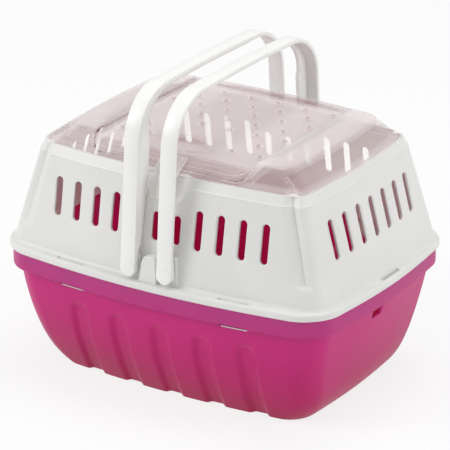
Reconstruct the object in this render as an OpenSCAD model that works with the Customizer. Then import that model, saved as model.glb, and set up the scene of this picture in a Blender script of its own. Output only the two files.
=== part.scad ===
// Small-animal carrier: a pink tub, a white vented shell that clips on to it,
// a clear roof with a vented door, and two bail handles that stand side by side.
// Millimetres, +Z up. The origin is at the middle of the tub's underside.

/* [Rim] */
// Length of the white rim, the longest size of the body
rim_length = 300; // [270:5:330]
// Width of the white rim
rim_width = 224; // [208:2:240]
// Corner radius of the rim in plan
corner_radius = 24; // [20:1:30]
// How far the middle of a long side bows out past its ends
long_bow = 13.4; // [6:0.2:16]
// How far the middle of a short side bows out past its ends
short_bow = 7.6; // [4:0.2:12]
// Height of the white rim's lip
lip_height = 6; // [5:0.5:8]
// Width of the ledge between the lip's edge and the wall
ledge_width = 8; // [7.5:0.5:11]

/* [Tub] */
// Height of the tub, from the floor to the rim's lower edge
tub_height = 98; // [84:1:112]
// Wall thickness of the tub
tub_wall = 2.4; // [2:0.2:3]
// Height of the band round the top of the tub
band_height = 15.5; // [12:0.5:18]
// Step inwards below that band
band_step = 5; // [4:0.5:7]
// How far the short ends slope in between the band and the floor
end_slope = 18.5; // [12:0.5:26]
// How far the short ends turn in near the floor, beyond that slope
end_turn = 12; // [6:0.5:16]
// How far the long sides curve in between the band and the floor
side_curve = 29.5; // [20:0.5:34]

/* [Shell] */
// Height of the vented wall, from the rim's lower edge to the shoulder
wall_height = 80.5; // [72:0.5:88]
// Wall thickness of the shell
shell_wall = 2.2; // [1.8:0.2:2.8]
// How far the long walls lean in over the wall's height
long_lean = 12.6; // [9:0.2:15]
// How far the short walls lean in over the wall's height
short_lean = 20.1; // [15:0.2:22]
// Corner radius of the wall at its foot
wall_corner = 10; // [10:0.5:14]
// Corner radius of the wall at the shoulder
shoulder_corner = 13; // [11:0.5:15]
// Height of the plain band above the shoulder
shoulder_height = 7.3; // [5:0.1:9]
// How far that band leans in
shoulder_lean = 3.4; // [2:0.2:5]

/* [Vent slots] */
// Width of a slot
slot_width = 6.2; // [4:0.2:7]
// Height of a slot
slot_height = 30.1; // [20:0.5:34]
// Height of a slot's lower end above the rim's lower edge
slot_base = 35.7; // [30:0.5:38]
// Pitch of the slots in a long wall
long_pitch = 18.24; // [15:0.2:20]
// Pitch of the slots in a short wall
short_pitch = 18.6; // [15:0.2:19]
// Slots on each side of the middle one in a long wall
long_side_slots = 5; // [3:1:5]
// Slots on each side of the middle one in a short wall
short_side_slots = 3; // [2:1:3]
// How much shorter the three slots behind the handles are
middle_slot_cut = 8.4; // [4:0.2:10]

/* [Roof] */
// Height of the roof over the shell's top edge
roof_rise = 15; // [14:0.5:17]
// Steepness of the roof's sloping border, in degrees
roof_pitch = 30; // [28:1:33]
// Thickness of the clear plastic
clear_wall = 2; // [1.6:0.2:2.4]
// Length of the door in the roof, across the carrier's long axis
door_length = 140; // [132:1:146]
// Gap round the door
door_gap = 0.6; // [0.5:0.1:0.8]
// Depth of the door below the raised ends of the roof
door_drop = 3; // [2:0.2:4]
// Rise of the door's crown over its straight line from edge to edge
door_crown = 1.6; // [1.2:0.1:2.4]
// Diameter of the door's vent holes
vent_hole = 4; // [3:0.2:5]
// Pitch of the vent holes along a row
vent_pitch = 24.3; // [20:0.5:26]
// Pitch of the rows of vent holes
vent_row_pitch = 17.9; // [16:0.1:18]
// How far the middle row of vent holes lies behind the carrier's middle
vent_shift = 5.4; // [3:0.2:6]
// Radius of the door's hinge studs
stud_radius = 1.6; // [1.4:0.1:2]
// Running clearance of a stud or pin in its hole
running_gap = 0.06; // [0.04:0.01:0.1]

/* [Latch] */
// Width of the latch tongue
tongue_width = 22; // [16:0.5:22]
// Place of the tongue's middle along the carrier
tongue_x = 4; // [3.6:0.1:5]
// Length of the tongue below the door's front edge
tongue_drop = 22; // [18:1:25]
// Thickness of the tongue
tongue_wall = 2; // [1.6:0.2:2.4]

/* [Handles] */
// Height of a handle's top over the rim's lower edge
handle_height = 151.3; // [146:0.5:158]
// Width of a handle's strap
strap_width = 12.8; // [11:0.1:14]
// Thickness of the strap
strap_thick = 3.4; // [2.6:0.1:4]
// Depth of the deep leg's flange at its lower end
flange_foot = 9.8; // [7:0.2:9.8]
// Depth of that flange at its upper end
flange_depth = 15.4; // [11:0.2:15.4]
// Thickness of the flange
flange_wall = 3; // [2.4:0.1:3.6]
// How far the two hinge axes lie from the middle of the pair
pivot_x = 15.9; // [15.5:0.1:20]
// Height of the hinge axes above the rim's lower edge
pivot_z = 15.4; // [15.2:0.1:18]
// How far a leg's outer face leans in over 80 mm of its height
leg_lean = 6.1; // [5:0.1:8]
// Radius of the bend between a leg and the top of the handle
bend_radius = 39.6; // [34:0.5:42]
// Rise of the handle's top from the bends to the middle
top_arch = 1.2; // [0.4:0.2:3]
// Thickness of a leg's foot, on its pin
foot_thick = 6.3; // [6:0.1:7]
// Radius of a hinge pin
pin_radius = 3; // [2.4:0.1:3.4]
// Depth of a pin's seat in its bracket
pin_seat = 4; // [3:0.5:4]
// How far a pin reaches into a leg
pin_reach = 4; // [3:0.5:4.5]

/* [Snap hooks] */
// Place of the long sides' hooks along the carrier
hook_x = 72.5; // [60:0.5:90]
// Width of a hook's slot
hook_width = 25; // [16:1:30]
// How far a hook reaches down into the tub
hook_drop = 8; // [5:0.5:8]

/* [Hidden] */
$fn = 48;
touch = 0.01;           // overlap that joins two solids of one piece
body_gap = 0.3;         // clearance between pieces that lift apart
half_l = rim_length / 2;
half_w = rim_width / 2;
rim_z = tub_height;     // the rim's lower edge
shoulder_z = rim_z + wall_height;
edge_z = shoulder_z + shoulder_height;      // the shell's top edge
wall_l = half_l - ledge_width + 1.5;         // the wall's foot, at the ledge
wall_w = half_w - ledge_width;
top_l = wall_l - short_lean - shoulder_lean;    // the shell's top edge
top_w = wall_w - long_lean - shoulder_lean;
slope = tan(roof_pitch);
side_n = 3;             // straight steps on each side of a corner
corner_n = 6;           // steps round a corner

// ---- plan outlines ------------------------------------------------------

// One quarter of a rounded rectangle, from the middle of the short side
// to the middle of the long side
function quarter(a, b, r) = concat(
    [for (i = [0:side_n - 1]) [a, (b - r) * i / side_n]],
    [for (i = [0:corner_n]) let (t = 90 * i / corner_n) [a - r + r * cos(t), b - r + r * sin(t)]],
    [for (i = [1:side_n]) [(a - r) * (1 - i / side_n), b]]);

// The bow of the sides, in proportion to the size of the outline
function bowed(p) = [p.x - sign(p.x) * short_bow * pow(p.y / half_w, 2),
                     p.y - sign(p.y) * long_bow * pow(p.x / half_l, 2)];

// A whole outline at height z, anticlockwise seen from above
function ring(a, b, r, z) = let (q = quarter(a, b, r), n = len(q) - 1, flat = concat(
    [for (i = [0:n - 1]) q[i]],
    [for (i = [n:-1:1]) [-q[i].x, q[i].y]],
    [for (i = [0:n - 1]) [-q[i].x, -q[i].y]],
    [for (i = [n:-1:1]) [q[i].x, -q[i].y]]))
    [for (p = flat) let (s = bowed(p)) [s.x, s.y, z]];

// Skin between rings; a closed loop of rings makes a frame, else both ends get a face
module loft(rings, closed_loop = false) {
    n = len(rings[0]);
    m = len(rings);
    steps = closed_loop ? m : m - 1;
    skin = [for (j = [0:steps - 1], i = [0:n - 1], half = [0:1])
        let (k = (i + 1) % n, up = (j + 1) % m)
        half == 0 ? [j * n + i, up * n + i, up * n + k] : [j * n + i, up * n + k, j * n + k]];
    ends = closed_loop ? [] : [[for (i = [0:n - 1]) i], [for (i = [n - 1:-1:0]) (m - 1) * n + i]];
    polyhedron(points = [for (r = rings, p = r) p], faces = concat(skin, ends), convexity = 10);
}

// ---- the walls' size at a height ----------------------------------------

// Half length and half width of the shell's outer wall at height z
function wall_a(z) = wall_l - short_lean * (z - rim_z - lip_height) / (wall_height - lip_height);
function wall_b(z) = wall_w - long_lean * (z - rim_z - lip_height) / (wall_height - lip_height);

// Half length, half width and height of the tub, from 0 at the band to 1 at the floor
function tub_a(t) = half_l - 3 - band_step - end_slope * t - end_turn * pow(t, 8);
function tub_b(t) = half_w - 2 - band_step * 1.1 - side_curve * pow(t, 1.8);
function tub_z(t) = (tub_height - band_height) * (1 - t);
tub_steps = [0, 0.25, 0.5, 0.68, 0.8, 0.88, 0.94, 0.98, 1];

// Outer rings of the tub below its band, set in by d
function tub_rings(d) = [for (t = tub_steps)
    ring(tub_a(t) - d, tub_b(t) - d, corner_radius - 2 - 6 * t - d, tub_z(t) + d * pow(t, 4))];
function turned(list) = [for (i = [len(list) - 1:-1:0]) list[i]];

module tub() {
    a = half_l - 3;
    b = half_w - 2;
    r = corner_radius - 2;
    top = rim_z - body_gap;
    low = rim_z - band_height;
    color([0.75, 0.26, 0.47])
    loft(concat(
        turned(tub_rings(0)),
        [ring(a, b, r, low + 1.5), ring(a, b, r, top),
         ring(a - tub_wall, b - tub_wall, r - tub_wall, top),
         ring(a - tub_wall, b - tub_wall, r - tub_wall, low + 1.5 + tub_wall)],
        tub_rings(tub_wall)));
}

// ---- white shell ---------------------------------------------------------

module slot_cutter(height) {
    // a stadium, long in Z and passing through a wall along Y
    for (z = [slot_width / 2, height - slot_width / 2])
        translate([0, 0, z]) rotate([90, 0, 0]) cylinder(d = slot_width, h = 2 * slot_height, center = true);
    translate([-slot_width / 2, -slot_height, slot_width / 2])
        cube([slot_width, 2 * slot_height, height - slot_width]);
}

module slot_cutters() {
    z = rim_z + slot_base;
    for (side = [-1, 1], i = [-long_side_slots:long_side_slots]) {
        cut = abs(i) <= 1 ? middle_slot_cut : 0;
        translate([i * long_pitch, side * wall_b(z), z + cut * 0.15]) slot_cutter(slot_height - cut);
    }
    for (side = [-1, 1], i = [-short_side_slots:short_side_slots])
        translate([side * wall_a(z), i * short_pitch, z]) rotate([0, 0, 90]) slot_cutter(slot_height);
}

// Outer rings of the shell set in by d, from the ledge to the top edge
function shell_rings(d) = [
    ring(wall_l - d, wall_w - d, wall_corner - d, rim_z + lip_height + 2),
    ring(wall_a(shoulder_z) - d, wall_b(shoulder_z) - d, shoulder_corner - d, shoulder_z),
    ring(top_l - d, top_w - d, shoulder_corner - d, edge_z)];

bracket_face = wall_w + 0.6;            // front face of a handle's bracket
bracket_top = rim_z + 34;               // top of a handle's bracket
pin_z = rim_z + pivot_z;

// Boss on each long side between the wall and the legs, standing on the ledge
module brackets() {
    low = rim_z + lip_height - touch;
    mid_wall = shell_wall * 0.6;
    for (side = [0, 1]) mirror([0, side, 0])
        translate([-pivot_x - strap_width / 2 + 1, 0, 0]) rotate([90, 0, 90])
            linear_extrude(2 * pivot_x + strap_width)
                polygon([[-bracket_face, low], [-bracket_face, bracket_top - 8],
                         [-wall_b(bracket_top) - 2, bracket_top],
                         [-wall_b(bracket_top) + mid_wall, bracket_top],
                         [-wall_b(low) + mid_wall, low]]);
}

// Places children at both handle axes on both long sides, seen as the near side
module at_pivots() {
    for (turn = [0, 180], x = [-pivot_x, pivot_x])
        translate([x, 0, 0]) rotate([0, 0, turn]) children();
}

module pin(radius, inner, outer) {
    translate([0, -inner, pin_z]) rotate([90, 0, 0]) cylinder(r = radius, h = outer - inner);
}

// Places children over the snap hooks: two on each long side, one on each short side
module at_hooks() {
    angle = atan(2 * long_bow * hook_x / pow(half_l, 2));
    y = half_w - long_bow * pow(hook_x / half_l, 2);
    for (turn = [0, 180], side = [-1, 1]) rotate([0, 0, turn])
        translate([side * hook_x, -y, rim_z]) rotate([0, 0, side * angle]) children();
    for (turn = [0, 180]) rotate([0, 0, turn + 90]) translate([0, -half_l, rim_z]) children();
}

module hook_slot() {
    // moulding hole in the ledge over a hook
    translate([-hook_width / 2, 3.8, 2.5]) cube([hook_width, 2.6, lip_height]);
}

module hook_tab() {
    // tab that reaches down inside the tub's band
    translate([-hook_width / 2 + 2, 6.6, -hook_drop]) cube([hook_width - 4, 2, hook_drop + touch]);
}

module upper_shell() {
    low = rim_z;
    color([0.92, 0.92, 0.9]) difference() {
        union() {
            loft(concat(
                [ring(half_l - 1, half_w - 1, corner_radius, low),
                 ring(half_l, half_w, corner_radius, low + 1.5),
                 ring(half_l, half_w, corner_radius, low + lip_height - 1.5),
                 ring(half_l - 1.6, half_w - 1.6, corner_radius, low + lip_height),
                 ring(wall_l + 1.2, wall_w + 1.2, wall_corner + 1, low + lip_height)],
                shell_rings(0),
                turned(shell_rings(shell_wall)),
                [ring(wall_l - shell_wall, wall_w - shell_wall, wall_corner - shell_wall, low)]), true);
            brackets();
            at_hooks() hook_tab();
        }
        slot_cutters();
        at_hooks() hook_slot();
        at_pivots() pin(pin_radius, bracket_face - pin_seat, bracket_face + 1);
    }
}

// Four pins, pressed into the brackets; the handles turn on their free ends
module handle_pins() {
    color([0.88, 0.88, 0.86]) at_pivots()
        pin(pin_radius, bracket_face - pin_seat, bracket_face + body_gap + pin_reach);
}

// ---- clear roof ----------------------------------------------------------

roof_r = shoulder_corner;
flat_rise = roof_rise - door_drop;      // the door's middle over the shell's top edge
crown_half = top_w - flat_rise / slope; // half width of the crowned part
crown_bend = door_crown / pow(crown_half, 2);
kink_y = (slope - sqrt(pow(slope, 2) - 4 * crown_bend * (top_w * slope - flat_rise))) / (2 * crown_bend);
door_front = top_w - 6.2;               // the door's front edge, on the near slope
door_rear = crown_half + 3;             // the door's rear edge
door_half = door_length / 2;
hinge_z = edge_z + flat_rise - door_crown - 3.4;
hinge_y = door_rear - 2.5;
rear_gap = 1.6;                         // room for the door's rear edge as it turns

// Rings of the roof above its edge, set in by d and lowered by h
function roof_rings(d, h) = [
    ring(top_l - 7.5 - d, top_w - 6.6 - d, roof_r - 1, edge_z + 6.6 * slope - h),
    ring(top_l - 18.2 - d, top_w - 11.5 - d, roof_r - 2, edge_z + roof_rise * 0.77 - h),
    ring(top_l - 20.5 - d, top_w - 13.8 - d, roof_r - 3, edge_z + roof_rise * 0.93 - h),
    ring(top_l - 23.5 - d, top_w - 17 - d, roof_r - 4, edge_z + roof_rise - h),
    ring(top_l / 2 - d, top_w / 2 - d, roof_r / 2, edge_z + roof_rise + 0.4 - h)];

// Height of the door's outer face at y
function door_z(y) = edge_z + min((top_w - abs(y)) * slope,
                                  flat_rise - crown_bend * pow(y, 2));

// A plate from x0 to x1 that follows the door's face, between two heights over it
module door_strip(x0, x1, y0, y1, low, high) {
    steps = [for (i = [-12:12]) kink_y * i / 12];
    ys = concat([y0], [for (y = steps) if (y > y0 + 0.2 && y < y1 - 0.2) y], [y1]);
    translate([x0, 0, 0]) rotate([90, 0, 90]) linear_extrude(x1 - x0)
        polygon(concat([for (y = ys) [y, door_z(y) + low]], [for (y = turned(ys)) [y, door_z(y) + high]]));
}

module clear_roof() {
    skirt = shell_wall + 0.2;
    inner_l = top_l - skirt - clear_wall;
    inner_w = top_w - skirt - clear_wall;
    cut = door_half + door_gap;
    rib_low = -7;
    seat_low = -clear_wall - body_gap - 1.6;
    color([0.86, 0.79, 0.8, 0.5]) difference() {
        union() {
            difference() {
                loft(concat(
                    turned(roof_rings(clear_wall, clear_wall)),
                    [ring(inner_l, inner_w, roof_r - 4, edge_z),
                     ring(inner_l, inner_w, roof_r - 4, edge_z - 5),
                     ring(top_l - skirt, top_w - skirt, roof_r - 2, edge_z - 5),
                     ring(top_l - skirt, top_w - skirt, roof_r - 2, edge_z),
                     ring(top_l, top_w, roof_r, edge_z)],
                    roof_rings(0, 0)));
                translate([-cut, -door_front - door_gap, edge_z - 9])
                    cube([2 * cut, door_front + door_rear + door_gap + rear_gap, 2 * roof_rise]);
            }
            for (side = [-1, 1]) scale([side, 1, 1]) {
                // upright beside the door, taller under the roof's raised end
                door_strip(cut, cut + 2, -door_front + 6, door_rear - 0.5, rib_low, -1);
                door_strip(cut, cut + 2, -crown_half + 7, crown_half - 7, rib_low, 2);
                // seat that the door's edge rests over
                door_strip(cut - 5, cut + touch, -door_front + 6, hinge_y - 8, seat_low,
                           -clear_wall - body_gap);
            }
        }
        for (side = [-1, 1]) scale([side, 1, 1])
            stud(stud_radius + running_gap, door_half - 1, door_half + door_gap + 3);
    }
}

module stud(radius, x0, x1) {
    translate([x0, hinge_y, hinge_z]) rotate([0, 90, 0]) cylinder(r = radius, h = x1 - x0);
}

module vent_holes() {
    for (row = [-3:3], col = [-3:3]) {
        x = (col + (row % 2 == 0 ? 0 : 0.5)) * vent_pitch;
        y = row * vent_row_pitch + vent_shift;
        if (abs(x) < door_half - 6 && !(abs(x) < 26 && y < -20))
            translate([x, y, edge_z]) cylinder(d = vent_hole, h = 4 * roof_rise, center = true);
    }
}

module roof_door() {
    ear = 2.5;
    color([0.86, 0.8, 0.82, 0.5]) difference() {
        union() {
            door_strip(-door_half, door_half, -door_front, door_rear, -clear_wall, 0);
            for (side = [-1, 1]) scale([side, 1, 1]) {
                translate([door_half - ear, hinge_y - ear, hinge_z - ear])
                    cube([ear, 2 * ear, door_z(hinge_y) - 1 - hinge_z + ear]);
                stud(stud_radius, door_half - ear, door_half + door_gap + 2);
            }
        }
        vent_holes();
    }
}

// ---- latch ---------------------------------------------------------------

// Clear tongue that hangs from the door's front edge over the shell's wall
module latch_tongue() {
    low_z = edge_z - tongue_drop + 4;
    off = body_gap + 0.3;
    root = door_front - tongue_drop / 3;
    wall = function (z, d) z > shoulder_z ? wall_b(shoulder_z) + d : wall_b(z) + d;
    inner = [[root, door_z(root) + off], [top_w + 1.6, door_z(top_w) + off],
             [wall(shoulder_z, off + 0.4), shoulder_z], [wall(low_z, off + 0.4), low_z]];
    outer = [[wall(low_z, off + 0.4 + tongue_wall), low_z],
             [wall(shoulder_z, off + 0.4 + tongue_wall), shoulder_z + 2],
             [top_w + 1.6, door_z(top_w) + off + tongue_wall * 1.6], [root, door_z(root) + off + tongue_wall]];
    color([0.86, 0.8, 0.82, 0.5])
    translate([tongue_x - tongue_width / 2, 0, 0]) rotate([90, 0, 90]) linear_extrude(tongue_width)
        polygon([for (p = concat(inner, outer)) [-p.x, p.y]]);
}

// ---- handles -------------------------------------------------------------

leg_foot = bracket_face + body_gap + foot_thick;    // a leg's outer face at the pin
lean_angle = atan(leg_lean / 80);
bend_z = rim_z + handle_height - top_arch - bend_radius;
leg_top = bend_z + bend_radius * sin(lean_angle) - pin_z;
bend_y = leg_foot - leg_top * tan(lean_angle) - bend_radius * cos(lean_angle);
flange_low = bracket_top + 6 - pin_z;               // below this the flange would meet the bracket

// Outer face and outward direction of one half of a handle: on the leg at a height
// over the pin, round the bend at an angle, and along the top at a distance y
function on_leg(z) = [[leg_foot - z * tan(lean_angle), pin_z + z], [cos(lean_angle), sin(lean_angle)]];
function on_bend(t) = [[bend_y, bend_z] + bend_radius * [cos(t), sin(t)], [cos(t), sin(t)]];
function on_top(y) = [[y, bend_z + bend_radius + top_arch * (1 - pow(y / bend_y, 2))], [0, 1]];

// Strap of one half: [station, thickness]
function half_strap() = concat(
    [[on_leg(0), foot_thick - 0.1], [on_leg(7.5), foot_thick - 1.3],
     [on_leg(16), strap_thick], [on_leg(leg_top - 8), strap_thick]],
    [for (i = [0:8]) [on_bend(lean_angle + (90 - lean_angle) * i / 8), strap_thick]],
    [for (i = [1:3]) [on_top(bend_y * (1 - i / 4)), strap_thick]]);

// Flange along the deep half and over the top: [station, depth]
function whole_flange() = concat(
    [[on_leg(flange_low), strap_thick - 0.6], [on_leg(flange_low + 3), flange_foot],
     [on_leg(leg_top - 12), flange_depth]],
    [for (i = [0:7]) let (s = (i + 0.4) / 8)
        [on_bend(lean_angle + (90 - lean_angle) * s), flange_depth + (4.6 - flange_depth) * pow(s, 0.8)]],
    [for (i = [1:6]) [on_top(bend_y * (1.2 - i * 0.3)), 4]]);

// Section at one station, from depth d0 to d1; side is -1 on the near half, 1 on the far half
function section(s, side, x0, x1, d0, d1) = let (c = 0.5,
    corners = [[x0 + c, d0], [x1 - c, d0], [x1, d0 + c], [x1, d1 - c],
               [x1 - c, d1], [x0 + c, d1], [x0, d1 - c], [x0, d0 + c]])
    [for (p = corners) let (q = s[0] - p[1] * s[1]) [p[0], side * q.x, q.y]];

module foot(side, radius, inner, outer) {
    translate([0, side * (side > 0 ? outer : inner), pin_z]) rotate([90, 0, 0])
        cylinder(r = radius, h = outer - inner);
}

// A handle about its own hinge axis, deep leg on the near side
module handle() {
    half = half_strap();
    w = strap_width / 2;
    inner = bracket_face + body_gap;
    color([0.93, 0.93, 0.91]) difference() {
        union() {
            loft(concat([for (h = half) section(h[0], -1, -w, w, 0, h[1])],
                        [section(on_top(0), 1, -w, w, 0, strap_thick)],
                        [for (h = turned(half)) section(h[0], 1, -w, w, 0, h[1])]));
            loft([for (f = whole_flange()) section(f[0], -1, w - 0.6 - flange_wall, w - 0.6, 0.8, f[1])]);
            for (side = [-1, 1]) foot(side, w + 0.3, inner, leg_foot + 0.3);
        }
        for (turn = [0, 180]) rotate([0, 0, turn])
            pin(pin_radius + running_gap, inner - 2, inner + pin_reach + running_gap);
    }
}

module handle_left() { translate([-pivot_x, 0, 0]) handle(); }
module handle_right() { translate([pivot_x, 0, 0]) rotate([0, 0, 180]) handle(); }

tub();
upper_shell();
clear_roof();
roof_door();
latch_tongue();
handle_left();
handle_right();
handle_pins();
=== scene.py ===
import bpy
import bmesh
from math import sin, cos, tan, atan, radians, pi, hypot, sqrt
from mathutils import Matrix, Vector


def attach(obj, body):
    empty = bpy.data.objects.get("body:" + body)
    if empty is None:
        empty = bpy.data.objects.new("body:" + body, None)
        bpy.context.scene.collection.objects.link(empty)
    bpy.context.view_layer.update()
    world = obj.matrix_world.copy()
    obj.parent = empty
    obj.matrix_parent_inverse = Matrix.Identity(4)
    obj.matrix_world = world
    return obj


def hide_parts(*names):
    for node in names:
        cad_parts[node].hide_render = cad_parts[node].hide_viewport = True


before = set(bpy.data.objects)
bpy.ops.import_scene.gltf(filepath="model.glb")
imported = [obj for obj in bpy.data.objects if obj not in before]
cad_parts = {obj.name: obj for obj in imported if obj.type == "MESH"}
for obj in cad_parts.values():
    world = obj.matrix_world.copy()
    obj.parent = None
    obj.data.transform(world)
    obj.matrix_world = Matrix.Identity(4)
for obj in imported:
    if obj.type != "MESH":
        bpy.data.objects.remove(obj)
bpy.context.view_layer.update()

# ---- Camera, lamps and table --------------------------------------------
# The carrier stands on a plain white table, seen from its right front and a
# little above, through a long lens. Three soft boxes and a white room light it.
view_azimuth = radians(32.0)
view_height = radians(22.2)
view_target = Vector((0.0003, 0.0, 0.1131))
view_distance = 2.31
lens_mm = 240.2
sensor_mm = 36.0

right = Vector((cos(view_azimuth), sin(view_azimuth), 0))
forward = Vector((-sin(view_azimuth), cos(view_azimuth), 0))
back = Vector((0, 0, sin(view_height))) - forward * cos(view_height)
up = back.cross(right)
camera_data = bpy.data.cameras.new("camera")
camera_data.lens = lens_mm
camera_data.sensor_width = sensor_mm
camera_data.clip_end = 50
camera = bpy.data.objects.new("camera", camera_data)
camera.matrix_world = Matrix((right, up, back)).transposed().to_4x4()
camera.location = view_target + back * view_distance
bpy.context.collection.objects.link(camera)
bpy.context.scene.camera = camera
bpy.context.scene.view_settings.view_transform = "Standard"


class Sock:
    """A socket of a shader tree that takes + - and *, and that makes the tree's other nodes"""

    def __init__(self, tree, link=None):
        self.tree = tree
        self.link = link

    def node(self, kind, settings=None, **sockets):
        """A node with its settings, a ramp's stops among them, and its sockets by name or as i0, i1"""
        made = self.tree.nodes.new(kind)
        for name, value in (settings or {}).items():
            if name == "stops":
                ramp = made.color_ramp
                while len(ramp.elements) < len(value):
                    ramp.elements.new(0.5)
                for element, (place, colour) in zip(ramp.elements, value):
                    element.position = place
                    element.color = (*colour, 1)
            else:
                setattr(made, name, value)
        for name, value in sockets.items():
            numbered = name[0] == "i" and name[1:].isdigit()
            target = made.inputs[int(name[1:]) if numbered else name.replace("_", " ")]
            if isinstance(value, Sock):
                self.tree.links.new(value.link, target)
            else:
                target.default_value = value
        return made

    def out(self, kind, settings=None, result=0, **sockets):
        return Sock(self.tree, self.node(kind, settings, **sockets).outputs[result])

    def maths(self, operation, *values):
        inputs = {"i%d" % i: value for i, value in enumerate(values)}
        return self.out("ShaderNodeMath", {"operation": operation}, **inputs)

    def __add__(self, other):
        return self.maths("ADD", self, other)

    def __radd__(self, other):
        return self.maths("ADD", other, self)

    def __sub__(self, other):
        return self.maths("SUBTRACT", self, other)

    def __rsub__(self, other):
        return self.maths("SUBTRACT", other, self)

    def __mul__(self, other):
        return self.maths("MULTIPLY", self, other)

    def __rmul__(self, other):
        return self.maths("MULTIPLY", other, self)


def new_material(name):
    """An empty node material, and a socket to make its nodes with"""
    material = bpy.data.materials.new(name)
    material.use_nodes = True
    material.node_tree.nodes.clear()
    return material, Sock(material.node_tree)


def seen_by(s, *rays):
    """A mask that is 1 for the kinds of ray that are named"""
    mask = s.out("ShaderNodeLightPath", None, rays[0])
    for ray in rays[1:]:
        mask = s.maths("MAXIMUM", mask, s.out("ShaderNodeLightPath", None, ray))
    return mask


table_size = 12
table_drop = 0.0005
table_material, s = new_material("white_table")
lit = s.out("ShaderNodeBsdfDiffuse", Color=(0.86, 0.86, 0.86, 1))
white = s.out("ShaderNodeEmission", Color=(1, 1, 1, 1), Strength=1.0)
seen = seen_by(s, "Is Camera Ray", "Is Transmission Ray", "Is Glossy Ray")
s.node("ShaderNodeOutputMaterial", Surface=s.out("ShaderNodeMixShader", Fac=seen * 0.8, i1=lit, i2=white))
bpy.ops.mesh.primitive_plane_add(size=table_size, location=(0, 0, -table_drop))
table = bpy.context.object
table.name = "table_top"
table.data.materials.append(table_material)

world = bpy.data.worlds.new("white_room")
bpy.context.scene.world = world
world.use_nodes = True
world.node_tree.nodes.clear()
s = Sock(world.node_tree)
room = s.out("ShaderNodeBackground", Color=(1, 1, 1, 1), Strength=0.54)
plain = s.out("ShaderNodeBackground", Color=(1, 1, 1, 1), Strength=1.0)
seen = seen_by(s, "Is Camera Ray", "Is Transmission Ray")
s.node("ShaderNodeOutputWorld", Surface=s.out("ShaderNodeMixShader", Fac=seen, i1=room, i2=plain))

lamp_target = Vector((0, 0, 0.1))


def soft_box(name, place, size, watts):
    """A rectangular lamp that faces the middle of the carrier"""
    lamp = bpy.data.lights.new(name, "AREA")
    lamp.shape = "RECTANGLE"
    lamp.size, lamp.size_y = size
    lamp.energy = watts
    holder = bpy.data.objects.new(name, lamp)
    holder.location = place
    holder.rotation_euler = (lamp_target - Vector(place)).to_track_quat("-Z", "Y").to_euler()
    bpy.context.collection.objects.link(holder)


soft_box("left_soft_box", (-1.3, -1.4, 1.3), (1.0, 1.2), 19.5)
soft_box("right_soft_box", (1.8, 0.35, 0.95), (0.8, 1.2), 10)
soft_box("top_soft_box", (0.1, 0.3, 1.9), (1.2, 0.8), 12)

# ---- Tub -----------------------------------------------------------------
# The pink base is one thin moulding of slightly translucent plastic. Its long
# sides have five soft flutes each, and slits and windows take the shell's hooks.
# Sizes are in mm, and a piece turns to metres when its mesh is made.
mm = 0.001
half_length = 150.0
half_width = 112.0
long_bow = 13.4
short_bow = 7.6
rim_z = 98.0
tub_wall = 2.4
tub_x = 142
tub_y = 104.5
tub_top = 82.5
end_slope = 18.5
end_turn = 12
side_curve = 29.5
side_power = 1.8
tub_corner = 22
band_x = 147
band_y = 110
flute_places = [5 + 37 * i for i in range(-2, 3)]
flute_slant = 0.045
flute_top = rim_z - 37
flute_middle = rim_z - 29
flute_radius = 8.6
flute_round = 4.6
flute_depth = 2.7
flute_side = 0.62


def outline(a, b, r, bends=None):
    """Plan of a bowed rounded rectangle, anticlockwise from the middle of its +X side"""
    bends = bends or [pi / 2 * i / 16 for i in range(17)]
    quarter = [(a, (b - r) * i / 16) for i in range(16)]
    quarter += [(a - r + r * cos(t), b - r + r * sin(t)) for t in bends]
    quarter += [((a - r) * (1 - i / 64), b) for i in range(1, 65)]
    last = len(quarter) - 1
    forth, home = range(last), range(last, 0, -1)
    flat = [quarter[i] for i in forth]
    flat += [(-quarter[i][0], quarter[i][1]) for i in home]
    flat += [(-quarter[i][0], -quarter[i][1]) for i in forth]
    flat += [(quarter[i][0], -quarter[i][1]) for i in home]

    def ramp(v, side):
        return sin(pi / 2 * max(-1.0, min(1.0, v / (side - r))))

    return [(x - ramp(x, a) * short_bow * (y / half_width) ** 2,
             y - ramp(y, b) * long_bow * (x / half_length) ** 2) for x, y in flat]


def level(a, b, r, z):
    """The plan outline as a ring of points at one height"""
    return [(x, y, z) for x, y in outline(a, b, r)]


def soft_step(v, low, high):
    """Smooth step from 0 at low to 1 at high"""
    t = min(1.0, max(0.0, (v - low) / (high - low)))
    return t * t * (3 - 2 * t)


def steps(low, high, count):
    """Evenly spaced values after low, up to and with high"""
    return [low + (high - low) * i / count for i in range(1, count + 1)]


def skin(mesh, rings, loop=False):
    """Add rings of points to a bmesh, join each to the next, and close the two ends or the loop"""
    rows = [[mesh.verts.new(p) for p in ring] for ring in rings]
    pairs = list(zip(rows, rows[1:]))
    if loop:
        pairs.append((rows[-1], rows[0]))
    for low, high in pairs:
        for i in range(len(low)):
            k = (i + 1) % len(low)
            mesh.faces.new((low[i], low[k], high[k], high[i]))
    if not loop:
        mesh.faces.new(rows[0][::-1])
        mesh.faces.new(rows[-1])


def made_of(mesh, name, angle=32):
    """An object made of a bmesh, shaded smooth over edges below an angle"""
    bmesh.ops.remove_doubles(mesh, verts=mesh.verts, dist=0.002)
    bmesh.ops.recalc_face_normals(mesh, faces=mesh.faces)
    for face in mesh.faces:
        face.smooth = True
    for edge in mesh.edges:
        edge.smooth = edge.calc_face_angle(0.0) < radians(angle)
    bmesh.ops.scale(mesh, vec=(mm, mm, mm), verts=mesh.verts)
    data = bpy.data.meshes.new(name)
    mesh.to_mesh(data)
    mesh.free()
    piece = bpy.data.objects.new(name, data)
    bpy.context.collection.objects.link(piece)
    return piece


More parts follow.
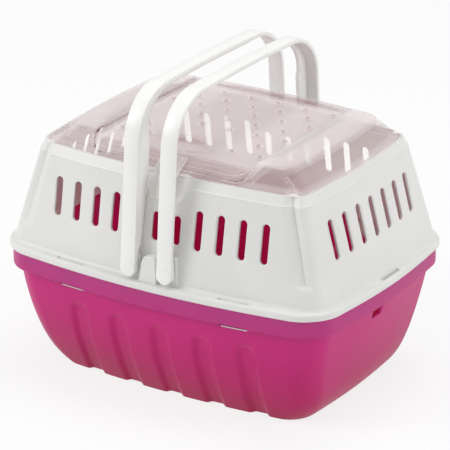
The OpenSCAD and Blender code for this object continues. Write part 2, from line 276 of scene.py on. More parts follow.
def cut(piece, cutters):
    """Subtract a bmesh of closed solids from a piece"""
    tool = made_of(cutters, "cutter")
    change = piece.modifiers.new("cut", "BOOLEAN")
    change.object = tool
    change.solver = "EXACT"
    bpy.context.view_layer.update()
    depsgraph = bpy.context.evaluated_depsgraph_get()
    data = bpy.data.meshes.new_from_object(piece.evaluated_get(depsgraph))
    piece.modifiers.clear()
    old = piece.data
    piece.data = data
    bpy.data.meshes.remove(old)
    bpy.data.objects.remove(tool)


def block(mesh, low, high, turn=None):
    """Add a box between two corners, then turn it"""
    made = bmesh.ops.create_cube(mesh, size=1)["verts"]
    bmesh.ops.scale(mesh, vec=[h - l for l, h in zip(low, high)], verts=made)
    bmesh.ops.translate(mesh, vec=[(l + h) / 2 for l, h in zip(low, high)], verts=made)
    if turn:
        bmesh.ops.transform(mesh, matrix=turn, verts=made)


def finish_in(material, *pieces):
    """Give pieces one material alone"""
    for piece in pieces:
        piece.data.materials.clear()
        piece.data.materials.append(material)


def flute(x, z):
    """Depth of the tub's flutes at a place on a long side"""
    deep = 0.0
    for place in flute_places:
        across = x - place - (z - flute_middle) * flute_slant
        away = hypot(across, max(0.0, z - flute_top))
        deep = max(deep, flute_depth * soft_step(flute_radius - away, 0, flute_round))
    return deep


def tub_ring(t, inset):
    """Ring of the tub below its band; t is 0 at the band and 1 at the floor"""
    a = tub_x - end_slope * t - end_turn * t ** 8 - inset
    b = tub_y - side_curve * t ** side_power - inset
    lean = side_curve * side_power * t ** (side_power - 1) / tub_top
    z = tub_top * (1 - t) + inset * t ** 4
    ring = []
    for x, y in outline(a, b, tub_corner - 6 * t - inset):
        deep = flute(x, z) / hypot(1, lean) if abs(y) > b * flute_side else 0.0
        ring.append((x, y - (deep if y > 0 else -deep), z + deep * lean * 0.6))
    return ring


tub_steps = [0.012, 0.03, 0.06] + steps(0.06, 0.7, 20)
tub_steps += [0.7 + 0.3 * t ** 0.8 for t in steps(0, 1, 18)]
# Each ring: its insets in X and Y, how much tighter its corner is, and its rise over the tub's top
band = (
    (4.8, 5.3, 0, -0.2), (3.6, 4.2, 0, 0.4), (1, 1.1, 0, 1.1), (0.2, 0.2, 0, 1.9), (0, 0, 0, 3),
    (0, 0, 0, 15.2), (2.2, 2.2, 2, 15.2), (2.4, 2.4, 2.4, 4), (3, 3.4, 2.4, 2.9), (7.2, 7.8, 2.4, 2.1))
mesh = bmesh.new()
outer = [tub_ring(t, 0) for t in tub_steps[::-1]]
outer += [level(band_x - in_x, band_y - in_y, tub_corner - tight, tub_top + rise)
          for in_x, in_y, tight, rise in band]
skin(mesh, outer + [tub_ring(t, tub_wall) for t in tub_steps])
tub = made_of(mesh, "tub_moulding")
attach(tub, "base")
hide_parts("tub")

hook_x = 72.5
hook_y = 108.9
hook_turn = atan(2 * long_bow * hook_x / half_length ** 2)
hook_places = [
    Matrix.Rotation(turn, 4, "Z") @ Matrix.Translation((side * hook_x, -hook_y, rim_z))
    @ Matrix.Rotation(side * hook_turn, 4, "Z")
    for turn in (0, pi) for side in (-1, 1)]
slit_half = 11.5
slit_y = (0, 14)
slit_z = (-14.6, -13.1)
window_x = (132, 148)
window_y = (-16.5, -3.5)
window_z = (rim_z - 25, rim_z - 16.8)
slits = bmesh.new()
for place in hook_places:
    block(slits, (-slit_half, slit_y[0], slit_z[0]), (slit_half, slit_y[1], slit_z[1]), place)
for side in (-1, 1):
    near, far = sorted(side * x for x in window_x)
    block(slits, (near, window_y[0], window_z[0]), (far, window_y[1], window_z[1]))
cut(tub, slits)

pink_material, s = new_material("pink_plastic")
here = s.out("ShaderNodeTexCoord", None, "Object")
height = s.out("ShaderNodeSeparateXYZ", None, "Z", Vector=here) * (1 / (rim_z * mm))
clouds = s.out("ShaderNodeTexNoise", Vector=here, Scale=26.0, Detail=4.0)
grain = s.out("ShaderNodeTexNoise", Vector=here, Scale=900.0, Detail=2.0)
# Painted shade: by height, the pink is darker toward the floor and lighter near the top; on the band it
# turns a bluer pink.
pinks_with_painted_shade = s.out("ShaderNodeValToRGB", {"stops": [
    (0.0, (0.52, 0.003, 0.140)), (0.45, (0.62, 0.014, 0.235)), (0.81, (0.68, 0.024, 0.285)),
    (0.84, (0.60, 0.040, 0.300)), (1.0, (0.57, 0.060, 0.310))]}, Fac=height)
shade = s.out("ShaderNodeValToRGB", {"stops": [(0.3, (0.9, 0.9, 0.9)), (0.7, (1, 1, 1))]}, Fac=clouds)
hue = s.out("ShaderNodeMix", {"data_type": "RGBA", "blend_type": "MULTIPLY"}, 2, i0=0.6, i6=pinks_with_painted_shade, i7=shade)
bump = s.out("ShaderNodeBump", Strength=0.05, Distance=0.0004, Height=grain)
gloss = 0.26 + clouds * 0.14
hard = s.out("ShaderNodeBsdfPrincipled", Base_Color=hue, Roughness=gloss, IOR=1.46, Normal=bump)
glow = s.out("ShaderNodeBsdfTranslucent", Color=(0.95, 0.02, 0.16, 1), Normal=bump)
s.node("ShaderNodeOutputMaterial", Surface=s.out("ShaderNodeMixShader", Fac=0.32, i1=hard, i2=glow))
finish_in(pink_material, tub)

# ---- Upper shell ---------------------------------------------------------
# The white cabin wall and its rim are one moulding in satin plastic, which
# clips on the tub. It has slots all round, grooved corners and a latch pocket.
ledge_z = rim_z + 6
foot_z = rim_z + 8
shoulder_z = rim_z + 80.5
edge_z = rim_z + 87.8
wall_rise = shoulder_z - ledge_z
wall_x = 143.5
wall_y = 104
wall_corner = 10
shell_wall = 2.2
end_lean = 20.1
side_lean = 12.6
shoulder_slope = 0.466
pocket_x = 3.5
pocket_drop = 12.2
pocket_half = 13.5
pocket_end = 25
pocket_reach = 45
long_side_y = 50
groove_top = rim_z + 81
groove_fall = 58
groove_near = 102.4
groove_far = 113.6
near_spread = 11.9
far_spread = 17.7
groove_middle = 0.68
groove_depth = 3.9


def crease(x):
    """Height of the shoulder line, which dips under the latch tongue"""
    return shoulder_z - pocket_drop * (1 - soft_step(abs(x - pocket_x), pocket_half, pocket_end))


def wall_end(z):
    """Half length of the wall's outer face at a height"""
    straight = wall_x - end_lean * (min(z, shoulder_z) - ledge_z) / wall_rise
    return straight - shoulder_slope * max(0.0, z - shoulder_z)


def wall_side(z, line=shoulder_z):
    """Half width of the wall's outer face at a height, where its shoulder line is at another height"""
    straight = wall_y - side_lean * (min(z, line) - ledge_z) / wall_rise
    return straight - shoulder_slope * max(0.0, z - line)


def groove_lines(z):
    """Places along X of a corner groove's near edge, deepest line and far edge, at a height"""
    part = (groove_top - z) / groove_fall
    near = groove_near + near_spread * part
    far = groove_far + far_spread * part
    return near, near + (far - near) * groove_middle, far


def bend_at(x, a, b, r):
    """Angle on a corner where the bowed outline reaches x"""
    low, high = 0.0, pi / 2
    for _ in range(24):
        t = (low + high) / 2
        if a - r + r * cos(t) - short_bow * ((b - r + r * sin(t)) / half_width) ** 2 > x:
            low = t
        else:
            high = t
    return low


def dipped(z, line):
    """Height on the wall where its shoulder line is at another height"""
    if z <= shoulder_z:
        return foot_z + (z - foot_z) * (line - foot_z) / (shoulder_z - foot_z)
    return line + (z - shoulder_z) * (edge_z - line) / (edge_z - shoulder_z)


def wall_ring(height, inset, bead=0.0):
    """Ring of the wall, set in from its outer face, with the latch pocket and the corner grooves"""
    a, b = wall_end(height), wall_side(height)
    part = (min(height, shoulder_z) - ledge_z) / wall_rise
    r = wall_corner + 3 * max(0.0, part)
    near, deep, far = groove_lines(max(height, rim_z + 15))
    bends = [bend_at(x, a, b, r) for x in (far, deep, near)]
    bends = ([bends[0] * i / 6 for i in range(7)] + steps(bends[0], bends[1], 3)
             + steps(bends[1], bends[2], 4) + steps(bends[2], pi / 2, 3))
    sunk = groove_depth * soft_step(height, rim_z + 21, rim_z + 25)
    plan = outline(a, b, r, bends)
    ring = []
    for i, (x, y) in enumerate(plan):
        dx = plan[(i + 1) % len(plan)][0] - plan[i - 1][0]
        dy = plan[(i + 1) % len(plan)][1] - plan[i - 1][1]
        z = height
        push = inset - bead
        if abs(y) > long_side_y and abs(x) < pocket_reach:
            line = crease(x)
            z = dipped(height, line)
            push += b - wall_side(z, line)
        if abs(y) > long_side_y and near < abs(x) < far:
            push += sunk * min((abs(x) - near) / (deep - near), (far - abs(x)) / (far - deep))
        push /= hypot(dx, dy)
        ring.append((x - dy * push, y + dx * push, z))
    return ring


heights = [rim_z + h for h in (8, 9.5, 12, 15, 18, 20.5, 22, 24, 26, 28.5)]
heights += steps(rim_z + 28.5, rim_z + 78.5, 20) + [rim_z + 79.5]
over = [shoulder_z + (edge_z - shoulder_z) * part for part in (0, 0.1, 0.3, 0.5, 0.75, 1)]
outer_beads = {over[0]: 0.3, over[1]: 0.02}
inner_beads = {over[1]: 0.02}
outer = [wall_ring(z, 0, outer_beads.get(z, 0.0)) for z in heights + over]
inner = [wall_ring(z, shell_wall, inner_beads.get(z, 0.0)) for z in heights + over]
rim = [level(half_length - in_x, half_width - in_y, r, rim_z + rise) for in_x, in_y, r, rise in (
    (2.5, 2.5, 23, 0), (0.8, 0.8, 24, 0.3), (0.1, 0.1, 24, 1.2), (0, 0, 24, 2.4), (0, 0, 24, 4.2),
    (0.3, 0.3, 24, 5.2), (1.1, 1.1, 23.5, 5.9), (2.2, 2.6, 21.5, 6.1), (4.6, 5.4, 14, 6),
    (5.7, 7, 11, 6.3), (6.3, 7.7, 10.2, 7))]
well = [level(wall_x - shell_wall, wall_y - shell_wall, wall_corner - shell_wall, z)
        for z in (ledge_z, rim_z)]
mesh = bmesh.new()
skin(mesh, rim + outer + inner[::-1] + well, loop=True)
shell = made_of(mesh, "shell_moulding", 14)
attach(shell, "shell")
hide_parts("upper_shell")

slot_radius = 3.1
slot_height = 30.1
slot_base = rim_z + 35.7
middle_cut = 8.4
long_pitch = 18.24
short_pitch = 18.6
side_tilt = atan(side_lean / wall_rise)
end_tilt = atan(end_lean / wall_rise)


def stadium(radius, reach):
    """Outline of a slot with round ends, about centres that are reach above and below"""
    top = [(radius * cos(pi * k / 14), reach + radius * sin(pi * k / 14)) for k in range(15)]
    return top + [(-x, -z) for x, z in top]


def slot_cutter(mesh, place, height):
    """Add a slot through the wall, which flares at the outer face for a soft edge"""
    rings = []
    for out_by, grown in ((-9, 0), (-0.75, 0), (0, 0.75), (4, 4.75)):
        shape = stadium(slot_radius + grown, height / 2 - slot_radius)
        rings.append([place @ Vector((x, out_by, z)) for x, z in shape])
    skin(mesh, rings)


slots = bmesh.new()
for turn in (0, pi):
    for i in range(-5, 6):
        less = middle_cut if abs(i) < 2 else 0
        x = i * long_pitch
        z = slot_base + less * 0.15 + (slot_height - less) / 2
        y = wall_side(z) - long_bow * (x / half_length) ** 2
        turned = Matrix.Rotation(turn, 4, "Z") @ Matrix.Translation((x, y, z))
        place = turned @ Matrix.Rotation(side_tilt, 4, "X")
        slot_cutter(slots, place, (slot_height - less) / cos(side_tilt))
    for i in range(-3, 4):
        y = i * short_pitch
        z = slot_base + slot_height / 2
        x = wall_end(z) - short_bow * (y / half_width) ** 2
        turned = Matrix.Rotation(turn - pi / 2, 4, "Z") @ Matrix.Translation((y, x, z))
        place = turned @ Matrix.Rotation(end_tilt, 4, "X")
        slot_cutter(slots, place, slot_height / cos(end_tilt))
hole_half = 12.5
hole_y = (3.6, 6.5)
hole_z = (0.8, 8)
end_hole_x = (143.5, 146.3)
end_hole_y = (-11, 14)
for place in hook_places:
    block(slots, (-hole_half, hole_y[0], hole_z[0]), (hole_half, hole_y[1], hole_z[1]), place)
for side in (-1, 1):
    near, far = sorted(side * x for x in end_hole_x)
    block(slots, (near, end_hole_y[0], rim_z + hole_z[0]), (far, end_hole_y[1], rim_z + hole_z[1]))
cut(shell, slots)

white_material, s = new_material("white_plastic")
here = s.out("ShaderNodeTexCoord", None, "Object")
clouds = s.out("ShaderNodeTexNoise", Vector=here, Scale=18.0, Detail=5.0)
grain = s.out("ShaderNodeTexNoise", Vector=here, Scale=1100.0, Detail=2.0)
hue = s.out("ShaderNodeValToRGB", {"stops": [
    (0.25, (0.800, 0.800, 0.775)), (0.75, (0.850, 0.850, 0.835))]}, Fac=clouds)
bump = s.out("ShaderNodeBump", Strength=0.06, Distance=0.0003, Height=grain)
gloss = 0.34 + clouds * 0.12
hard = s.out("ShaderNodeBsdfPrincipled", Base_Color=hue, Roughness=gloss, IOR=1.46, Normal=bump)
glow = s.out("ShaderNodeBsdfTranslucent", Color=(0.95, 0.95, 0.93, 1), Normal=bump)
s.node("ShaderNodeOutputMaterial", Surface=s.out("ShaderNodeMixShader", Fac=0.12, i1=hard, i2=glow))
finish_in(white_material, shell)

# ---- Hook tabs -----------------------------------------------------------
# Four thin tabs under the rim snap behind the slits in the tub. They are part
# of the white moulding.
tab_half = 10.5
tab_y = (6.6, 8.2)
tab_z = (-16.5, 0.5)
mesh = bmesh.new()
for place in hook_places:
    block(mesh, (-tab_half, tab_y[0], tab_z[0]), (tab_half, tab_y[1], tab_z[1]), place)
tabs = made_of(mesh, "hook_tabs")
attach(tabs, "shell")
finish_in(white_material, tabs)

# ---- Handle brackets -----------------------------------------------------
# A boss on each long side stands on the ledge behind the handles' feet and
# holds their pins. It is moulded with the shell, and a hump parts the two feet.
bracket_root = wall_y - 1.1
plate_face = 104.75
back_face = 104.6
hump_face = 108.4
chamfer = 0.7
plate = [
    (-16.6, 5.6), (-14.5, 7), (-11.2, 9.6), (-9.6, 12.6), (-8.2, 16.4), (-7, 20.4), (-6.2, 23.2),
    (-5.2, 25), (-3.2, 26.1), (0.4, 26.8), (4.6, 27.2), (9, 26.8), (12, 24.6), (17, 23.9), (18.2, 26.6),
    (19.2, 28.6), (21, 29.4), (22.6, 28.6), (23.3, 26.6), (23.8, 16), (24.1, 10.6), (24.8, 7.4), (26.2, 5.6)]
hump = [
    (-8.6, 5.6), (-7.8, 9), (-6.8, 14), (-5.9, 20), (-4.6, 24.2), (-2.8, 26.3), (0.6, 27.1), (4.6, 27.3),
    (6.4, 26.7), (7.1, 25), (7.5, 16), (7.6, 5.6)]
back_plate = [
    (-24, 5.6), (-21.8, 8), (-21.4, 12), (-21.2, 22), (-19.4, 24.6), (-11, 24.6), (-9, 22), (-8, 5.6)]


def slab(mesh, points, face, side):
    """Add a plate on one side, from inside the leaning wall to a face with a chamfer round it"""
    rings = []
    for y, inset in ((None, 0), (face - chamfer, 0), (face, chamfer)):
        ring = []
        for i, (x, z) in enumerate(points):
            before, after = Vector(points[i - 1]), Vector(points[(i + 1) % len(points)])
            along = (after - before).normalized()
            reach = bracket_root - side_lean / wall_rise * (z - 6) if y is None else y
            ring.append((x - along.y * inset, side * reach, rim_z + z + along.x * inset))
        rings.append(ring)
    skin(mesh, rings)


mesh = bmesh.new()
for side in (-1, 1):
    for points, face in ((plate, plate_face), (back_plate, back_face), (hump, hump_face)):
        slab(mesh, points[::-1], face, side)
brackets = made_of(mesh, "handle_brackets")
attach(brackets, "shell")
finish_in(white_material, brackets)

# ---- Clear roof ----------------------------------------------------------
# The roof is a clear moulding fixed inside the shell's top edge. Its two ends
# are raised bands, with a sunk panel in the slope below each.
roof_x = 120
roof_y = 88
roof_corner = 13
roof_wall = 1.6
skirt_drop = 5
lower_slope = (7.5, 6.6, 3.81)
upper_slope = (10.7, 4.9, 7.74)
panel_x = 84
panel_y = 74
panel_depth = 1.5
doorway_half = 70.6
doorway_front = 82.4
doorway_back = 71.8
doorway_corner = 14.8


def roof_ring(in_x, in_y, rise, tight, thick=0.0):
    """Ring of the roof, set in from its lower edge and at a rise over it"""
    ring = []
    for x, y in outline(roof_x - in_x - thick, roof_y - in_y - thick, roof_corner - tight):
        sunk = 0.0
        if abs(x) > panel_x:
            sunk = panel_depth * soft_step(panel_y - abs(y) - 0.4 * in_y, 0, 1.6)
            sunk *= soft_step(in_x, 1.4, 2.8) * soft_step(17.8 - in_x, 0, 1.2)
        ring.append((x, y, edge_z + rise - sunk - thick))
    return ring


roof_profile = [(*(low * t for low in lower_slope), t) for t in [0.0] + steps(0, 1, 5)]
roof_profile += [(*(low + high * t for low, high in zip(lower_slope, upper_slope)), 1 + t)
                 for t in steps(0, 1, 8)]
roof_profile += [
    (18.9, 12.3, 12.2, 2.1), (19.5, 12.9, 13.1, 2.3), (20.4, 13.7, 14, 2.6), (21.8, 15.1, 14.7, 3),
    (23.5, 17, 15, 4), (27, 20.5, 15.1, 4), (36, 30, 15.2, 5), (60, 44, 15.3, 6.5)]
outer = [roof_ring(*ring) for ring in roof_profile]
inner = [roof_ring(*ring, thick=roof_wall) for ring in roof_profile[2:]]
skirt = [level(roof_x - inset, roof_y - inset, roof_corner - tight, edge_z - drop)
         for inset, tight, drop in ((4.4, 4, 0), (4.4, 4, skirt_drop), (2.4, 2, skirt_drop), (2.4, 2, 0))]
mesh = bmesh.new()
skin(mesh, inner[::-1] + skirt + outer)
roof = made_of(mesh, "roof_moulding")
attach(roof, "shell")
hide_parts("clear_roof")

middle_x = doorway_half - doorway_corner
middle_y = doorway_corner - doorway_front
doorway_plan = [(doorway_half, middle_y), (doorway_half, doorway_back),
                (-doorway_half, doorway_back), (-doorway_half, middle_y)]
doorway_plan += [(-middle_x - doorway_corner * cos(t), middle_y - doorway_corner * sin(t))
                 for t in steps(0, pi / 2, 12)]
doorway_plan += [(middle_x + doorway_corner * sin(t), middle_y - doorway_corner * cos(t))
                 for t in [0.0] + steps(0, pi * 11 / 24, 11)]
doorway = bmesh.new()
skin(doorway, [[(x, y, z) for x, y in doorway_plan] for z in (edge_z - 9, edge_z + 30)])
cut(roof, doorway)


door_slope = tan(pi / 6)
door_rise = 12
door_crown = 0.000354


def door_height(y):
    """Height of the door's outer face, sloping in front and crowned on top"""
    return edge_z + min((roof_y - abs(y)) * door_slope, door_rise - door_crown * y * y)


# Each wall: its near and far X, its two ends in Y, and its bottom and top over the door's outer face
walls = (
    (70.6, 72.2, -75.5, 69.7, -7, -0.6), (70.6, 72.2, -60, 60, -7, 2.3),
    (65.7, 70.7, -75.5, 59.7, -3.7, -2.4))
mesh = bmesh.new()
for side in (-1, 1):
    for x0, x1, y0, y1, low, high in walls:
        rings = []
        for i in range(41):
            y = y0 + (y1 - y0) * i / 40
            bottom = door_height(y) + low
            top = door_height(y) + high
            if high > 0:
                top -= (high + 0.6) * (1 - min(1, (i + 0.5) / 3, (40.5 - i) / 3))
            rings.append([(side * x, y, z) for x, z in ((x0, bottom), (x1, bottom), (x1, top), (x0, top))])
        skin(mesh, rings)
uprights = made_of(mesh, "roof_uprights")
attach(uprights, "shell")

clear_material, s = new_material("clear_plastic")
here = s.out("ShaderNodeTexCoord", None, "Object")
clouds = s.out("ShaderNodeTexNoise", Vector=here, Scale=14.0, Detail=3.0)
grain = s.out("ShaderNodeTexNoise", Vector=here, Scale=420.0, Detail=2.0)
bump = s.out("ShaderNodeBump", Strength=0.08, Distance=0.0003, Height=grain + clouds * 2.0)
facing = s.out("ShaderNodeLayerWeight", None, "Facing", Blend=0.35)
end = s.maths("ABSOLUTE", s.out("ShaderNodeSeparateXYZ", None, "X", Vector=here))
side = s.maths("ABSOLUTE", s.out("ShaderNodeSeparateXYZ", None, "Y", Vector=here))
rise = s.out("ShaderNodeSeparateXYZ", None, "Z", Vector=here) - edge_z * mm
panel = s.maths("MINIMUM", (rise - 0.0008) * 1600.0, (0.0112 - rise) * 1600.0)
panel = s.maths("MINIMUM", panel, (0.0745 - side - rise * 0.7) * 900.0)
panel = s.maths("MINIMUM", panel, (end - 0.0965) * 900.0)
panel = s.maths("MAXIMUM", s.maths("MINIMUM", panel, 1.0), 0.0)
haze = s.out("ShaderNodeValToRGB", {"stops": [
    (0.2, (0.94, 0.875, 0.875)), (0.8, (0.98, 0.945, 0.94))]}, Fac=clouds)
gloss = 0.06 + clouds * 0.06
glossy = s.out("ShaderNodeBsdfPrincipled", Base_Color=haze, Roughness=gloss, IOR=1.5, Normal=bump)
through = s.out("ShaderNodeBsdfTransparent", Color=(0.995, 0.985, 0.985, 1))
share = s.maths("MINIMUM", 0.13 - panel * 0.05 + facing * (0.62 - panel * 0.2), 1.0)
s.node("ShaderNodeOutputMaterial", Surface=s.out("ShaderNodeMixShader", Fac=share, i1=through, i2=glossy))
finish_in(clear_material, roof, uprights)

# ---- Roof door -----------------------------------------------------------
# The door is a crowned clear panel that turns on two studs at its rear. It has
# a raised rim, staggered vent holes with raised collars and a finger dish.
door_half = 70
door_front = 81.8
door_back = 70.2
door_corner = 15
door_wall = 1.8
door_rows = 152
door_columns = 140
vent_pitch = 24.3
vent_row_pitch = 17.9
vent_shift = 5.4
vent_radius = 1.9
stud_x = 70.3
stud_y = 67.7
stud_z = rim_z + 94.8
stud_radius = 1.6
stud_length = 4.4
rim_width = 3.2
rim_height = 0.8
line_height = 0.35
dish_x = -1
dish_y = -52
dish_half_x = 24
dish_half_y = 14
dish_depth = 3.4
vents = [((col + (0.5 if row % 2 else 0)) * vent_pitch, row * vent_row_pitch + vent_shift)
         for row in range(-3, 4) for col in range(-3, 4)]
vents = [(x, y) for x, y in vents if abs(x) < 64 and not (abs(x) < 26 and y < -20)]


def door_width(y):
    """Half width of the door, whose front corners are round"""
    away = max(0.0, door_corner - (y + door_front))
    return door_half - door_corner + sqrt(max(0.0, door_corner ** 2 - away ** 2))


def edge_gap(x, y):
    """Distance from a place on the door to its nearest edge"""
    gap = min(door_width(y) - abs(x), y + door_front, door_back - y)
    past_x = abs(x) - (door_half - door_corner)
    past_y = door_corner - door_front - y
    if past_x > 0 and past_y > 0:
        gap = min(gap, door_corner - hypot(past_x, past_y))
    return gap


def door_relief(x, y):
    """Raised rim, fine inner line and finger dish of the door"""
    gap = edge_gap(x, y)
    relief = rim_height * soft_step(gap, -0.4, 0.7) * soft_step(rim_width - gap, 0, 0.9)
    relief += line_height * soft_step(gap, 4.4, 5.0) * soft_step(6.6 - gap, 0, 0.6)
    away = hypot((x - dish_x) / dish_half_x, (y - dish_y) / dish_half_y)
    relief -= dish_depth * soft_step(1.0 - away, 0, 0.42)
    relief += 0.6 * soft_step(1.14 - away, 0, 0.06) * soft_step(away, 1.0, 1.06)
    return relief


mesh = bmesh.new()
top, under = [], []
for j in range(door_rows + 1):
    y = -door_front + (door_front + door_back) * j / door_rows
    z = door_height(y)
    places = [door_width(y) * (2 * i / door_columns - 1) for i in range(door_columns + 1)]
    top.append([mesh.verts.new((x, y, z + door_relief(x, y))) for x in places])
    under.append([mesh.verts.new((x, y, z - door_wall + min(0.0, door_relief(x, y)))) for x in places])
for j in range(door_rows):
    for i in range(door_columns):
        mesh.faces.new((top[j][i], top[j][i + 1], top[j + 1][i + 1], top[j + 1][i]))
        mesh.faces.new((under[j][i], under[j + 1][i], under[j + 1][i + 1], under[j][i + 1]))
    for i in (0, door_columns):
        mesh.faces.new((top[j][i], top[j + 1][i], under[j + 1][i], under[j][i]))
for j in (0, door_rows):
    for i in range(door_columns):
        mesh.faces.new((top[j][i], top[j][i + 1], under[j][i + 1], under[j][i]))
door = made_of(mesh, "roof_door_panel")
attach(door, "door")
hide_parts("roof_door")
holes = bmesh.new()
for x, y in vents:
    place = Matrix.Translation((x, y, door_height(y)))
    bmesh.ops.create_cone(holes, cap_ends=True, segments=24, radius1=vent_radius, radius2=vent_radius,
                          depth=20, matrix=place)
cut(door, holes)


def circle(radius, count):
    """Points of a circle about the origin, for a ring of a round part"""
    return [(radius * cos(2 * pi * k / count), radius * sin(2 * pi * k / count)) for k in range(count)]


collar = (
    (vent_radius, -0.6), (vent_radius, 0.35), (2.15, 0.62), (2.7, 0.62),
    (3.1, 0.3), (3.4, -0.1), (3.2, -0.6))
mesh = bmesh.new()
for x, y in vents:
    place = Matrix.Translation((x, y, door_height(y))) @ Matrix.Rotation(atan(-2 * door_crown * y), 4, "X")
    rings = [[place @ Vector((u, v, h)) for u, v in circle(radius, 24)] for radius, h in collar]
    skin(mesh, rings, loop=True)
for side in (-1, 1):
    stud = Matrix.Translation((side * stud_x, stud_y, stud_z)) @ Matrix.Rotation(pi / 2, 4, "Y")
    bmesh.ops.create_cone(mesh, cap_ends=True, segments=24, radius1=stud_radius, radius2=stud_radius,
                          depth=stud_length, matrix=stud)
    near, far = sorted((side * (stud_x - 2.8), side * (stud_x - 0.3)))
    block(mesh, (near, stud_y - 2.4, stud_z - 2.5), (far, stud_y + 2.4, stud_z + 1.7))
collars = made_of(mesh, "door_collars_and_studs")
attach(collars, "door")
finish_in(clear_material, door, collars)

# ---- Latch tongue --------------------------------------------------------
# A thin springy tongue hangs from the door's front edge into the pocket. It is
# hazier than the door, and a cream line of thicker plastic edges it.
tongue_x = 4
tongue_half = 11.0
tongue_low = edge_z - 18
tongue_inner = 0.7
tongue_outer = 2.3


def tongue_path(off):
    """Points down the tongue at a distance off the faces below it, as half width and height"""
    path = [(y, door_height(y) + off) for y in (74.6, 78, 82, 86, 88.4)]
    straight = wall_y - side_lean
    path += [(straight + off * 0.7, edge_z - 2.5), (straight + off + 0.1, edge_z - 5.4),
             (straight + off + 0.3, edge_z - 8)]
    for drop in steps(9, 0, 4):
        path.append((wall_side(min(tongue_low + drop, shoulder_z)) + off + 0.35, tongue_low + drop))
    return path


inner_path = tongue_path(tongue_inner)
outer_path = tongue_path(tongue_outer)
mesh = bmesh.new()
rings = []
for (y0, z0), (y1, z1) in zip(inner_path, outer_path):
    half = tongue_half - 1.6 * soft_step(edge_z - 11 - z0, 0, 6)
    ring = [(tongue_x - half, -(y1 - 0.35), z1 - 0.1)]
    ring += [(tongue_x + half * u, -y1, z1) for u in (-0.97, -0.5, 0, 0.5, 0.97)]
    ring += [(tongue_x + half, -(y1 - 0.35), z1 - 0.1)]
    ring += [(tongue_x + half * u, -y0, z0) for u in (1, 0, -1)]
    rings.append(ring)
skin(mesh, rings)
tongue = made_of(mesh, "latch_tongue_strip")
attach(tongue, "latch")
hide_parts("latch_tongue")

haze_material, s = new_material("hazy_plastic")
here = s.out("ShaderNodeTexCoord", None, "Object")
across = s.out("ShaderNodeSeparateXYZ", None, "X", Vector=here)
lines = s.out("ShaderNodeTexNoise", {"noise_dimensions": "1D"}, W=across, Scale=420.0, Detail=2.0)
tone = s.out("ShaderNodeValToRGB", {"stops": [
    (0.3, (0.86, 0.84, 0.82)), (0.7, (0.97, 0.96, 0.94))]}, Fac=lines)
glossy = s.out("ShaderNodeBsdfPrincipled", Base_Color=tone, Roughness=0.16 + lines * 0.1, IOR=1.5)
through = s.out("ShaderNodeBsdfTransparent", Color=(0.99, 0.98, 0.975, 1))
share = 0.22 + lines * 0.3
s.node("ShaderNodeOutputMaterial", Surface=s.out("ShaderNodeMixShader", Fac=share, i1=through, i2=glossy))
finish_in(haze_material, tongue)

lip_y, lip_z = outer_path[-1]
lip_half = 9.3
lip_lift = 1.6
mesh = bmesh.new()
rings = []
for i in range(13):
    u = i / 6 - 1
    lift = lip_lift * max(0.0, abs(u) - 0.55) / 0.45
    y = 0.2 * lift - lip_y - 0.15
    z = lip_z + 0.25 + lift
    rings.append([(tongue_x + lip_half * u, y - 0.9 * v, z + w) for v, w in circle(0.5, 10)])
skin(mesh, rings)
lip = made_of(mesh, "latch_tongue_edge")
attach(lip, "latch")

cream_material, s = new_material("cream_edge")
here = s.out("ShaderNodeTexCoord", None, "Object")
clouds = s.out("ShaderNodeTexNoise", Vector=here, Scale=160.0, Detail=3.0)
tone = s.out("ShaderNodeValToRGB", {"stops": [
    (0.2, (0.72, 0.60, 0.42)), (0.8, (0.86, 0.78, 0.62))]}, Fac=clouds)
hard = s.out("ShaderNodeBsdfPrincipled", Base_Color=tone, Roughness=0.25 + clouds * 0.1)
s.node("ShaderNodeOutputMaterial", Surface=hard)
finish_in(cream_material, lip)

# ---- Handles -------------------------------------------------------------
# The two bail handles are one white moulding turned half round: a thin strap,
# with a flange along the inner edge of one leg that dies away over the top.
leg_lean = atan(6.1 / 80)
foot_y = 111.2
pin_z = rim_z + 15.4
bend_z = rim_z + 110.5
bend_r = 39.6
top_arch = 1.2
pair_half = 15.9
strap_half = 6.4
strap_thick = 3.4
strap_round = 0.7
flange_wall = 3.0
flange_top = 15.4
flange_fall = 10.8
bar_thick = 4.3
far_thick = 3.6
leg_top = bend_z + bend_r * sin(leg_lean) - pin_z
bend_y = foot_y - leg_top * tan(leg_lean) - bend_r * cos(leg_lean)
foot_shape = ((0, 6.1, 6.1), (4, 5.7, 5.7), (7.5, 5.0, 5.3), (11, 4.4, 5.0), (15, 3.8, 5.2))
flange_shape = ((18, 8.4), (24.6, 9.4), (34, 10.6), (46, 11.8), (58, 13.1), (70, 14.3),
                (leg_top - 12, flange_top), (leg_top - 6, flange_top))


def handle_stations():
    """Outer point, outward direction, strap thickness and flange depth along the whole handle"""
    near = []
    for up_leg, thick, deep in foot_shape + tuple((z, strap_thick, deep) for z, deep in flange_shape):
        point = (foot_y - up_leg * tan(leg_lean), pin_z + up_leg)
        near.append((point, (cos(leg_lean), sin(leg_lean)), thick, deep))
    for i in range(19):
        t = leg_lean + (pi / 2 - leg_lean) * i / 18
        point = (bend_y + bend_r * cos(t), bend_z + bend_r * sin(t))
        near.append((point, (cos(t), sin(t)), strap_thick, flange_top - flange_fall * (i / 18) ** 0.8))
    middle = []
    for i in range(1, 24):
        y = bend_y * (1 - i / 12)
        point = (y, bend_z + bend_r + top_arch * (1 - (y / bend_y) ** 2))
        middle.append((point, (0, 1), strap_thick, bar_thick if i < 22 else far_thick))
    far = [((-p[0], p[1]), (-n[0], n[1]), thick, thick) for p, n, thick, deep in near[::-1]]
    return near + middle + far


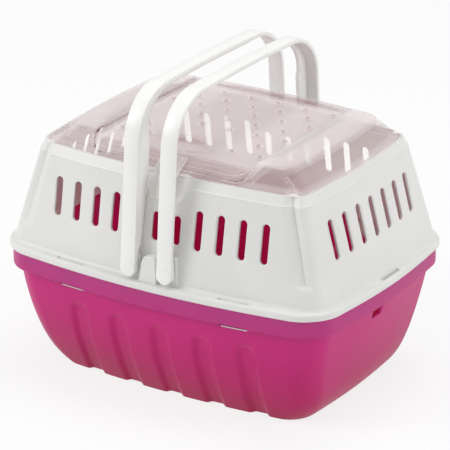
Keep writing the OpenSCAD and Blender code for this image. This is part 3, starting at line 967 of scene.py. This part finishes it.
def handle_ring(p, n, thick, deep):
    """L-shaped section of the strap and its flange"""
    w, r, f = strap_half, strap_round, flange_wall
    deep = max(deep, thick + 0.02)
    shape = [(-w, r), (-w + 0.2, 0.2), (-w + r, 0), (0, -0.06), (w - r, 0), (w - 0.2, 0.2), (w, r),
             (w, deep - r), (w - 0.2, deep - 0.2), (w - r, deep), (w - f + 0.4, deep),
             (w - f, max(deep - 0.4, thick)), (w - f - 0.3, thick),
             (-w + r, thick), (-w + 0.2, thick - 0.2), (-w, thick - r)]
    return [(x, -(p[0] - n[0] * d), p[1] - n[1] * d) for x, d in shape]


handle_material, s = new_material("handle_plastic")
here = s.out("ShaderNodeTexCoord", None, "Object")
clouds = s.out("ShaderNodeTexNoise", Vector=here, Scale=30.0, Detail=4.0)
grain = s.out("ShaderNodeTexNoise", Vector=here, Scale=1300.0, Detail=2.0)
hue = s.out("ShaderNodeValToRGB", {"stops": [
    (0.25, (0.835, 0.835, 0.815)), (0.75, (0.875, 0.875, 0.86))]}, Fac=clouds)
bump = s.out("ShaderNodeBump", Strength=0.05, Distance=0.0003, Height=grain)
gloss = 0.28 + clouds * 0.1
hard = s.out("ShaderNodeBsdfPrincipled", Base_Color=hue, Roughness=gloss, IOR=1.46, Normal=bump)
s.node("ShaderNodeOutputMaterial", Surface=hard)

foot_disc = ((104.95, 6), (105.3, strap_half), (110.8, strap_half), (111.25, 6.2), (111.45, 5.6))
for node, body, centre, turn in (("handle_left", "left_bail", -pair_half, 0),
                                 ("handle_right", "right_bail", pair_half, pi)):
    mesh = bmesh.new()
    skin(mesh, [handle_ring(*station) for station in handle_stations()])
    for side in (-1, 1):
        skin(mesh, [[(u, side * y, pin_z + v) for u, v in circle(radius, 40)] for y, radius in foot_disc])
    bmesh.ops.rotate(mesh, matrix=Matrix.Rotation(turn, 3, "Z"), verts=mesh.verts)
    bmesh.ops.translate(mesh, vec=(centre, 0, 0), verts=mesh.verts)
    handle = made_of(mesh, node + "_moulding")
    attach(handle, body)
    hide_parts(node)
    finish_in(handle_material, handle)

# ---- Handle pins ---------------------------------------------------------
# Four round pins carry the handles. They are pressed into the brackets, and
# only their ends could be seen past the legs.
finish_in(handle_material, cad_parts["handle_pins"])
